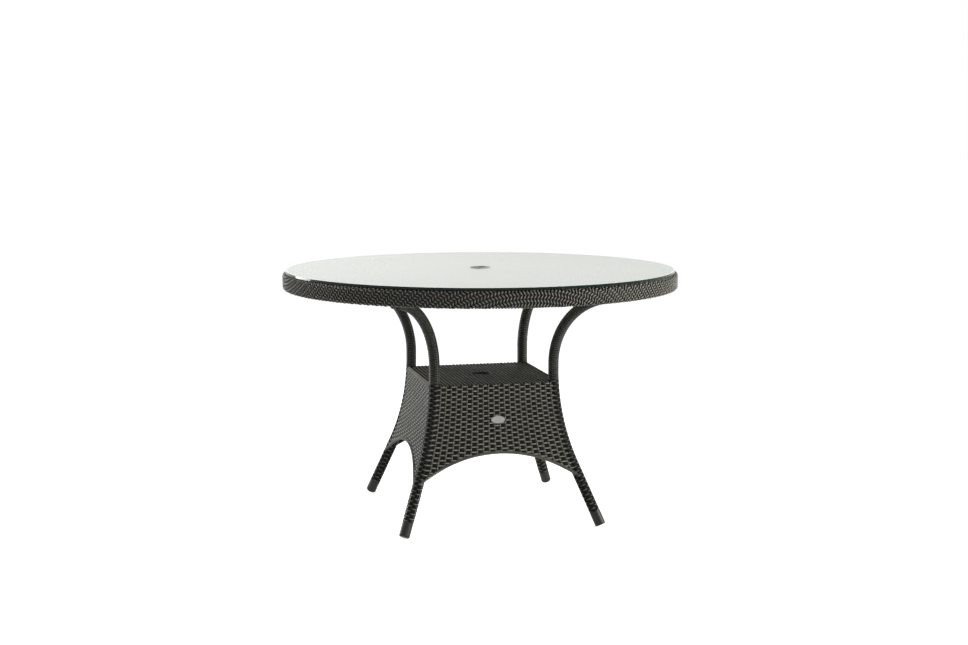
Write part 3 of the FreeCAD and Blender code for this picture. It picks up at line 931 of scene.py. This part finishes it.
class TABLE_OT_weave_shelf(bpy.types.Operator):
    """Lays the tapes of the shelf, binds its side edges and wraps the pole hole"""

    bl_idname = "table.weave_shelf"
    bl_label = "Weave Shelf"

    def execute(self, context):
        self.tapes()
        self.edge_beads()
        self.hole_wrap()
        return {"FINISHED"}

    def side_by_side(self, name, middle, width, crown, sunk, finish_name):
        """One tape in each column from the front edge to the back, its ends bent down."""
        top_inset = 0.0015
        sway = 0.0003
        end_length = 0.012
        end_bend = 0.0022
        end_gap = 0.001
        highlight_share = 0.14
        count = weave().shelf_tapes
        half = shelf_high.x
        pitch = 2 * half / count
        crossings = int(2 * half / weave().row_pitch)
        bar = add_bar(name, 8, crossings * 3)
        places = half_round(corners(bar), width * pitch / 2, crown, underside)
        places = np.stack([places[:, 1] + middle * pitch, places[:, 0] - 0.5, places[:, 2]], axis=1)
        place_corners(bar, places)
        repeat(bar, count, (pitch, 0, 0))
        places = corners(bar)
        places[:, 0] -= half - pitch / 2
        column = np.round(places[:, 0] / pitch - middle)
        wave = np.cos(math.pi * crossings * places[:, 1]) * np.cos(math.pi * column)
        end = np.clip((np.abs(places[:, 1]) - (0.5 - end_length)) / end_length, 0, 1)
        places[:, 2] += shelf_high.z - top_inset - sunk + sway * wave - end_bend * end ** 2
        places[:, 1] *= 2 * half - end_gap
        place_corners(bar, places)
        # The painted highlight tone is mixed evenly into every tape of the shelf.
        mark_painted_highlights(bar, np.full(len(places), highlight_share))
        return paint(bar, strand_finish(finish_name))

    def crossing_strands(self):
        """Thin strands across the shelf, under its tapes."""
        radius = 0.0013
        end_gap = 0.002
        edge_gap = 0.006
        half = shelf_high.x
        count = int(2 * half / weave().row_pitch) // 2
        crossing = add_bar("Shelf crossing strand", 6, 2)
        places = corners(crossing)
        places[:, 0] = (places[:, 0] - 0.5) * 2 * (half - end_gap)
        places[:, 1:] *= radius
        places[:, 1] -= half - edge_gap
        places[:, 2] += shelf_low.z + radius
        place_corners(crossing, places)
        repeat(crossing, count, (0, 2 * (half - edge_gap) / (count - 1), 0))
        return paint(crossing, strand_finish("Flat tape"))

    def tapes(self):
        """Wide and narrow tapes over their crossing strands, cut out for the hole and the legs."""
        hole_radius = 0.033
        shelf = join(
            self.side_by_side("Wide tape", middle=0.20, width=0.60, crown=0.0014, sunk=0.0,
                              finish_name="Shelf strand"),
            self.side_by_side("Narrow tape", middle=-0.30, width=0.46, crown=0.0010, sunk=0.0018,
                              finish_name="Shelf tape"),
            self.crossing_strands())
        corner = float(flare(shelf_high.z))

        def cut_outs(middles):
            x, y = np.abs(middles[:, 0]), np.abs(middles[:, 1])
            hole = np.hypot(x, y) < hole_radius
            leg = np.hypot(x - corner, y - corner) < leg_radius
            outside = (x > corner) & (y > corner)
            return hole | leg | outside

        cut_away(shelf, cut_outs)
        face_outwards(shelf)
        shelf.name = "shelf_tapes"
        finish_piece(shelf, "shelf_strand", "shelf_weave")

    def edge_beads(self):
        """Beads of strand over the left and right edges, a row pitch apart."""
        half_size = (0.0065, 0.0020, 0.0022)
        inset = 0.0022
        lowered = math.radians(50)
        pitch = weave().row_pitch
        corner = float(flare(shelf_high.z))
        count = int(2 * (corner - leg_radius) / pitch)
        deselect()
        bpy.ops.mesh.primitive_uv_sphere_add(segments=10, ring_count=8, radius=1)
        bead = bpy.context.object
        places = corners(bead)
        # Painted highlight: the upper side of each bead is lighter.
        mark_painted_highlights(bead, places[:, 2] * 2 + 1)
        places *= half_size
        x = places[:, 0] * math.cos(lowered) + places[:, 2] * math.sin(lowered)
        z = places[:, 2] * math.cos(lowered) - places[:, 0] * math.sin(lowered)
        places = np.stack([x + shelf_high.x - inset, places[:, 1] - (count - 1) / 2 * pitch,
                           z + shelf_high.z - inset], axis=1)
        place_corners(bead, places)
        repeat(bead, count, (0, pitch, 0))
        for side, angle in (("right", 0), ("left", 180)):
            edge = turned_copy(bead, "shelf_edge_" + side, angle)
            finish_piece(paint(edge, strand_finish("Round strand")), "woven_strand")
        bpy.data.objects.remove(bead)

    def hole_wrap(self):
        """Strand wound round the ring in the pole hole."""
        count = 46
        half_width = 0.0030
        half_thickness = 0.0011
        edge_gap = 0.0009
        strand_share = 0.45
        middle_radius = hole_high.x - half_width
        half_height = (hole_high.z - hole_low.z) / 2
        loop = strand_ring("Hole strand", 14, 6)
        angle, out, along = unrolled(corners(loop))
        width = half_width + out * half_thickness
        height = half_height - edge_gap + out * half_thickness
        places = np.stack([width * np.cos(angle), height * soft_square(np.sin(angle)),
                           along * strand_share], axis=1)
        place_corners(loop, places)
        repeat(loop, count, (0, 0, 1))
        places = corners(loop)
        turn = places[:, 2] * math.tau / count
        radius = middle_radius + places[:, 0]
        place_corners(loop, np.stack([radius * np.cos(turn), radius * np.sin(turn),
                                      places[:, 1] + (hole_low.z + hole_high.z) / 2], axis=1))
        face_outwards(loop)
        loop.name = "hole_wrap"
        finish_piece(paint(loop, strand_finish("Round strand")), "woven_strand", "shelf_hole_ring")


def finish_nodes(prefixes, material):
    """Gives a material to all CAD nodes whose names start in one of these ways."""
    for name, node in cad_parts.items():
        if name.startswith(prefixes):
            node.data.materials.clear()
            node.data.materials.append(material)
            for slot in node.material_slots:
                slot.material = material


class TABLE_OT_finish_top(bpy.types.Operator):
    """Gives the glass, its pads and the umbrella ring their finish"""

    bl_idname = "table.finish_top"
    bl_label = "Finish Top"

    def execute(self, context):
        colours = finish()
        glass = glass_material(colours.glass_colour[:], colours.glass_edge_colour[:])
        finish_nodes(("glass_top",), glass)
        ring = coated_metal_material("Ring grey", (0.24, 0.26, 0.245), roughness=0.6)
        finish_nodes(("umbrella_ring",), ring)
        finish_nodes(("glass_pads",), rubber_material("Pad rubber", (0.05, 0.05, 0.05)))
        return {"FINISHED"}


class TABLE_OT_finish_frame(bpy.types.Operator):
    """Gives the frame, caps, bolts and badge their finish"""

    bl_idname = "table.finish_frame"
    bl_label = "Finish Frame"

    def execute(self, context):
        colours = finish()
        coating = coated_metal_material("Powder coating", colours.coating_colour[:], roughness=0.42)
        finish_nodes(("top_ring_frame", "frame_arm_", "pole_hub", "leg_tube_", "leg_plate_",
                      "shelf_rail_", "shelf_slat_"), coating)
        finish_nodes(("foot_cap_", "leg_end_plug_"), cap_material("Cap plastic", colours.cap_colour[:]))
        plated = bare_metal_material("Zinc-plated steel", (0.45, 0.45, 0.44), roughness=0.35,
                                     stretch=(1, 1, 0.2))
        finish_nodes(("leg_bolts", "threaded_inserts", "badge_clips"), plated)
        brushed = bare_metal_material("Badge steel", (0.30, 0.295, 0.28), roughness=0.24,
                                      stretch=(0.06, 1, 1))
        finish_nodes(("badge_plate",), brushed)
        return {"FINISHED"}


class TABLE_OT_stage(bpy.types.Operator):
    """Adds the camera, the floor, the studio lights and the white surroundings"""

    bl_idname = "table.stage"
    bl_label = "Stage"

    def execute(self, context):
        self.camera(context)
        self.floor()
        self.world(context)
        self.softbox("Key", place=(2.95, -1.75, 1.3), target=(0, 0, 0.5),
                     width=1.6, height=1.3, radiance=19.5)
        self.softbox("Back left", place=(-2.5, 2.1, 1.3), target=(0, 0, 0.5),
                     width=1.2, height=1.8, radiance=11.0)
        self.softbox("Overhead", place=(-1.0, 0.3, 2.8), target=(-0.2, 0, 0.7),
                     width=2.0, height=2.0, radiance=2.8)
        return {"FINISHED"}

    def camera(self, context):
        """A camera at the photograph's place, turned right of +Y by its heading and down by its pitch."""
        place = (-1.0675, -4.5026, 1.1807)
        heading = math.radians(13.48)
        pitch = math.radians(7.326)
        roll = math.radians(-0.046)
        forward = Vector((math.sin(heading) * math.cos(pitch), math.cos(heading) * math.cos(pitch),
                          -math.sin(pitch)))
        data = bpy.data.cameras.new("Camera")
        data.sensor_width = 36
        data.lens = 56.44
        data.clip_end = 100
        camera = bpy.data.objects.new("Camera", data)
        turn = forward.to_track_quat("-Z", "Y").to_matrix() @ Matrix.Rotation(roll, 3, "Z")
        camera.rotation_euler = turn.to_euler()
        camera.location = place
        context.scene.collection.objects.link(camera)
        context.scene.camera = camera

    def floor(self):
        """A pale floor that looks white and keeps the table's shadow."""
        glow = 0.82
        deselect()
        bpy.ops.mesh.primitive_plane_add(size=80, location=(0, 0, 0))
        floor = bpy.context.object
        floor.name = "Floor"
        nodes = MaterialNodes("Pale floor")
        nodes.link(nodes.mix(nodes.noise(scale=3.0), (0.84, 0.84, 0.84), (0.86, 0.86, 0.86)), "Base Color")
        nodes.set("Roughness", 0.9)
        nodes.link(nodes.math("MULTIPLY", nodes.seen(), glow), "Emission Strength")
        nodes.set("Emission Color", (1, 1, 1, 1))
        floor.data.materials.append(nodes.material)

    def world(self, context):
        """Surroundings that look white and give little light."""
        fill = 0.17
        world = bpy.data.worlds.new("Studio")
        world.use_nodes = True
        context.scene.world = world
        nodes = NodeTree(world.node_tree)
        strength = nodes.add("ShaderNodeMapRange", {"Value": nodes.seen(), "To Min": fill, "To Max": 1.0})
        background = world.node_tree.nodes["Background"]
        nodes.tree.links.new(strength.outputs[0], background.inputs["Strength"])
        background.inputs["Color"].default_value = (1, 1, 1, 1)

    def softbox(self, name, place, target, width, height, radiance):
        """A rectangular lamp, equally bright all over."""
        data = bpy.data.lights.new(name, "AREA")
        data.shape = "RECTANGLE"
        data.size = width
        data.size_y = height
        data.energy = radiance * math.pi * width * height * finish().light_strength
        light = bpy.data.objects.new(name, data)
        light.location = place
        light.rotation_euler = (Vector(target) - Vector(place)).to_track_quat("-Z", "Y").to_euler()
        bpy.context.scene.collection.objects.link(light)


class TABLE_PT_panel(bpy.types.Panel):
    """Lists the table's steps and settings"""

    bl_idname = "TABLE_PT_panel"
    bl_label = "Woven Table"
    bl_space_type = "VIEW_3D"
    bl_region_type = "UI"
    bl_category = "Table"

    def draw(self, context):
        layout = self.layout
        for settings in (context.scene.table_weave, context.scene.table_finish):
            for key in settings.__annotations__:
                layout.prop(settings, key)
        for operator in operators:
            layout.operator(operator.bl_idname)


operators = (
    TABLE_OT_stage,
    TABLE_OT_weave_panels,
    TABLE_OT_wrap_legs,
    TABLE_OT_wrap_hems,
    TABLE_OT_weave_apron,
    TABLE_OT_weave_shelf,
    TABLE_OT_finish_top,
    TABLE_OT_finish_frame,
)
classes = (TableWeaveSettings, TableFinishSettings) + operators + (TABLE_PT_panel,)


def register():
    for cls in classes:
        bpy.utils.register_class(cls)
    bpy.types.Scene.table_weave = PointerProperty(type=TableWeaveSettings)
    bpy.types.Scene.table_finish = PointerProperty(type=TableFinishSettings)


def unregister():
    del bpy.types.Scene.table_weave
    del bpy.types.Scene.table_finish
    for cls in reversed(classes):
        bpy.utils.unregister_class(cls)


def main():
    register()
    bpy.context.scene.view_settings.view_transform = "Standard"
    bpy.ops.table.stage()
    bpy.ops.table.weave_panels()
    bpy.ops.table.wrap_legs()
    bpy.ops.table.wrap_hems()
    bpy.ops.table.weave_apron()
    bpy.ops.table.weave_shelf()
    bpy.ops.table.finish_top()
    bpy.ops.table.finish_frame()
    bpy.context.view_layer.update()


if __name__ == "__main__":
    main()
